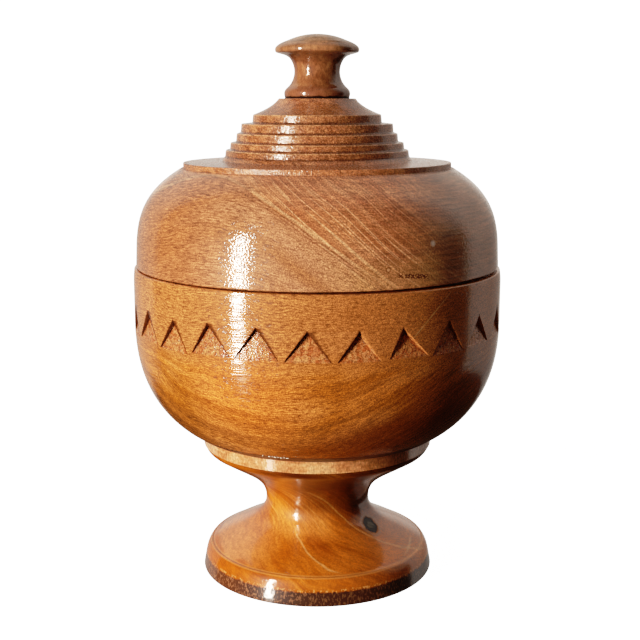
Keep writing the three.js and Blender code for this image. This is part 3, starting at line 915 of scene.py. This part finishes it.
def makeDrops():
    # drops of varnish that ran down the bowl to its lower edge, coloured pale as a painted glint
    d = drops
    rng = random.Random(d["seed"])
    mesh = bmesh.new()
    for azimuth, height, size in d["row"]:
        radius = d["edgeRadius"] + d["edgeSlope"] * (height - d["edgeHeight"])
        drop = bmesh.ops.create_icosphere(mesh, subdivisions=3, radius=size)["verts"]
        bmesh.ops.scale(mesh, vec=(rng.uniform(*d["wide"]), *d["flat"]), verts=drop)
        around = Matrix.Rotation(math.radians(azimuth), 3, "Z")
        bmesh.ops.rotate(mesh, cent=(0, 0, 0), matrix=around, verts=drop)
        bmesh.ops.translate(mesh, vec=outward(azimuth) * radius + Vector((0, 0, height)), verts=drop)
    fin, where = newFinish("varnish_drops")
    fin.colour = fin.mix(fin.cloud(where, 2, 1.0), d["amber"], d["clear"])
    finish = fin.close(0.05, fin.bump(fin.cloud(where, 0.8, 1.0), 0.02))
    addPiece("varnish_drops", mesh, finish, "base")


# Studio

studio = dict(
    camera=(0, -0.561, 0.2366), pitch=11.05, yaw=-0.14, lens=63.96, sensor=36, keyAzimuth=-46.5,
    keyDistance=1.5, keyWidth=0.18, keyBottom=-0.2, keyTop=0.74, keyColour=(1, 0.93, 0.82), keyRadiance=70,
    lowBottom=-0.75, lowRadiance=7, floorRadius=4, paper=(0.6, 0.6, 0.6, 1), paperGlow=2.35)

# the room round the piece, in degrees: each screen's turn from the front towards the right, and its height
room = dict(
    right=(101, 108, 156, 168), left=(-174, -162, -120, -118), upper=(64, 100, 156, 168), upperHeight=(4, 16),
    behind=(142, 164), behindHeight=(-24, -18), behindLow=(-3, 1, 8, 18), behindHigh=(42, 30),
    sideHeight=(-24, -20), ceilingHeight=(58, 74), rightEdge=(140, 108), brightHeight=(12, 30),
    topHeight=(52, 70), rightLow=(12, -8), leftLow=(8, -6), level=0.56, tint=(1.02, 0.93, 0.84),
    gloom=(0.05, 0.03, 0.02), ceiling=(0.4, 0.4, 0.4), seen=(2.6, 2.6, 2.6))

picture = dict(
    white=2.5,
    tones=[(0.02, 0.008), (0.06, 0.045), (0.14, 0.13), (0.3, 0.31), (0.5, 0.5),
           (0.75, 0.66), (1.0, 0.76), (1.5, 0.88), (2.0, 0.96)])


def makeCamera():
    s = studio
    data = bpy.data.cameras.new("camera")
    data.lens, data.sensor_width = s["lens"], s["sensor"]
    data.clip_start, data.clip_end = 0.01, 50
    camera = addObject("camera", data)
    camera.location = s["camera"]
    camera.rotation_euler = (math.radians(90 - s["pitch"]), 0, math.radians(s["yaw"]))
    scene.camera = camera


def makeRoom():
    # the camera sees white; the piece sees pale screens beside and behind it, a dim ceiling, and gloom
    r = room
    world = bpy.data.worlds.new("studio_room")
    scene.world = world
    fin = Finish(world)
    across, back, up = fin.axes(fin.add("TexCoord", {}, {}, "Generated"))
    turn = fin.add("Math", {"operation": "ARCTAN2"}, {0: across, 1: back * -1.0}) * math.degrees(1)
    height = fin.add("Math", {"operation": "ARCSINE"}, {0: up}) * math.degrees(1)
    right, left = turn.within(*r["right"]), turn.within(*r["left"])
    upper = turn.within(*r["upper"]) * height.fade(*r["upperHeight"])
    behind = height.within(*r["behindLow"]) * 0.35 + height.fade(*r["behindHigh"]) * 0.6
    behind = behind * abs(turn).fade(*r["behind"]) * height.fade(*r["behindHeight"])
    sides = (right + left * 1.1).larger(upper * 0.85) * height.fade(*r["sideHeight"])
    level = r["level"] + right * turn.fade(*r["rightEdge"]) * 0.42
    level = level + height.fade(*r["brightHeight"]) * 0.28 - height.fade(*r["topHeight"]) * 0.4
    level = level - right * height.fade(*r["rightLow"]) * 0.25 - left * height.fade(*r["leftLow"]) * 0.08
    lit = (sides * level).larger(behind)
    colour = fin.join(*((lit * tint).larger(dim) for tint, dim in zip(r["tint"], r["gloom"])))
    colour = fin.mix(height.fade(*r["ceilingHeight"]), colour, r["ceiling"])
    colour = fin.mix(fin.add("LightPath", {}, {}, "Is Camera Ray"), colour, r["seen"])
    fin.link(fin.add("Background", {}, {"Color": colour}), "World")


def makeWindow(name, bottom, top, radiance):
    s = studio
    data = bpy.data.lights.new(name, "AREA")
    data.shape = "RECTANGLE"
    data.size, data.size_y = s["keyWidth"], top - bottom
    data.energy = radiance * data.size * data.size_y * math.pi
    data.color = s["keyColour"]
    light = addObject(name, data)
    light.location = outward(s["keyAzimuth"]) * s["keyDistance"] + Vector((0, 0, (top + bottom) / 2))
    light.rotation_euler = (math.radians(90), 0, math.radians(s["keyAzimuth"]))


def makeFloor():
    mesh = bmesh.new()
    bmesh.ops.create_circle(mesh, cap_ends=True, segments=96, radius=studio["floorRadius"])
    fin = Finish(bpy.data.materials.new("pale_paper"))
    paper = fin.add("BsdfDiffuse", {}, {"Color": studio["paper"]})
    glow = fin.add("Emission", {}, {"Color": (1, 1, 1, 1), "Strength": studio["paperGlow"]})
    fin.link(fin.add("AddShader", {}, {0: paper, 1: glow}))
    floor = meshObject("pale_floor", mesh, fin.owner)
    for ray in ("visible_diffuse", "visible_glossy", "visible_shadow", "visible_transmission"):
        setattr(floor, ray, False)


def gradePicture():
    # a camera's own tones: deep shadows, and bright places that level off
    view = scene.view_settings
    view.view_transform = "Standard"
    view.use_curve_mapping = True
    view.curve_mapping.white_level = (picture["white"],) * 3
    curve = view.curve_mapping.curves[3]
    for light, shown in picture["tones"]:
        curve.points.new(light / picture["white"], shown)
    view.curve_mapping.update()


makeCamera()
makeRoom()
makeWindow("window", studio["keyBottom"], studio["keyTop"], studio["keyRadiance"])
makeWindow("window_low", studio["lowBottom"], studio["keyBottom"], studio["lowRadiance"])
makeFloor()
gradePicture()
print("studio ready")

makePedestal()
makeCollar()
makeBowl()
makeLid()
makeKnob()
makeSeams()
makeDrops()
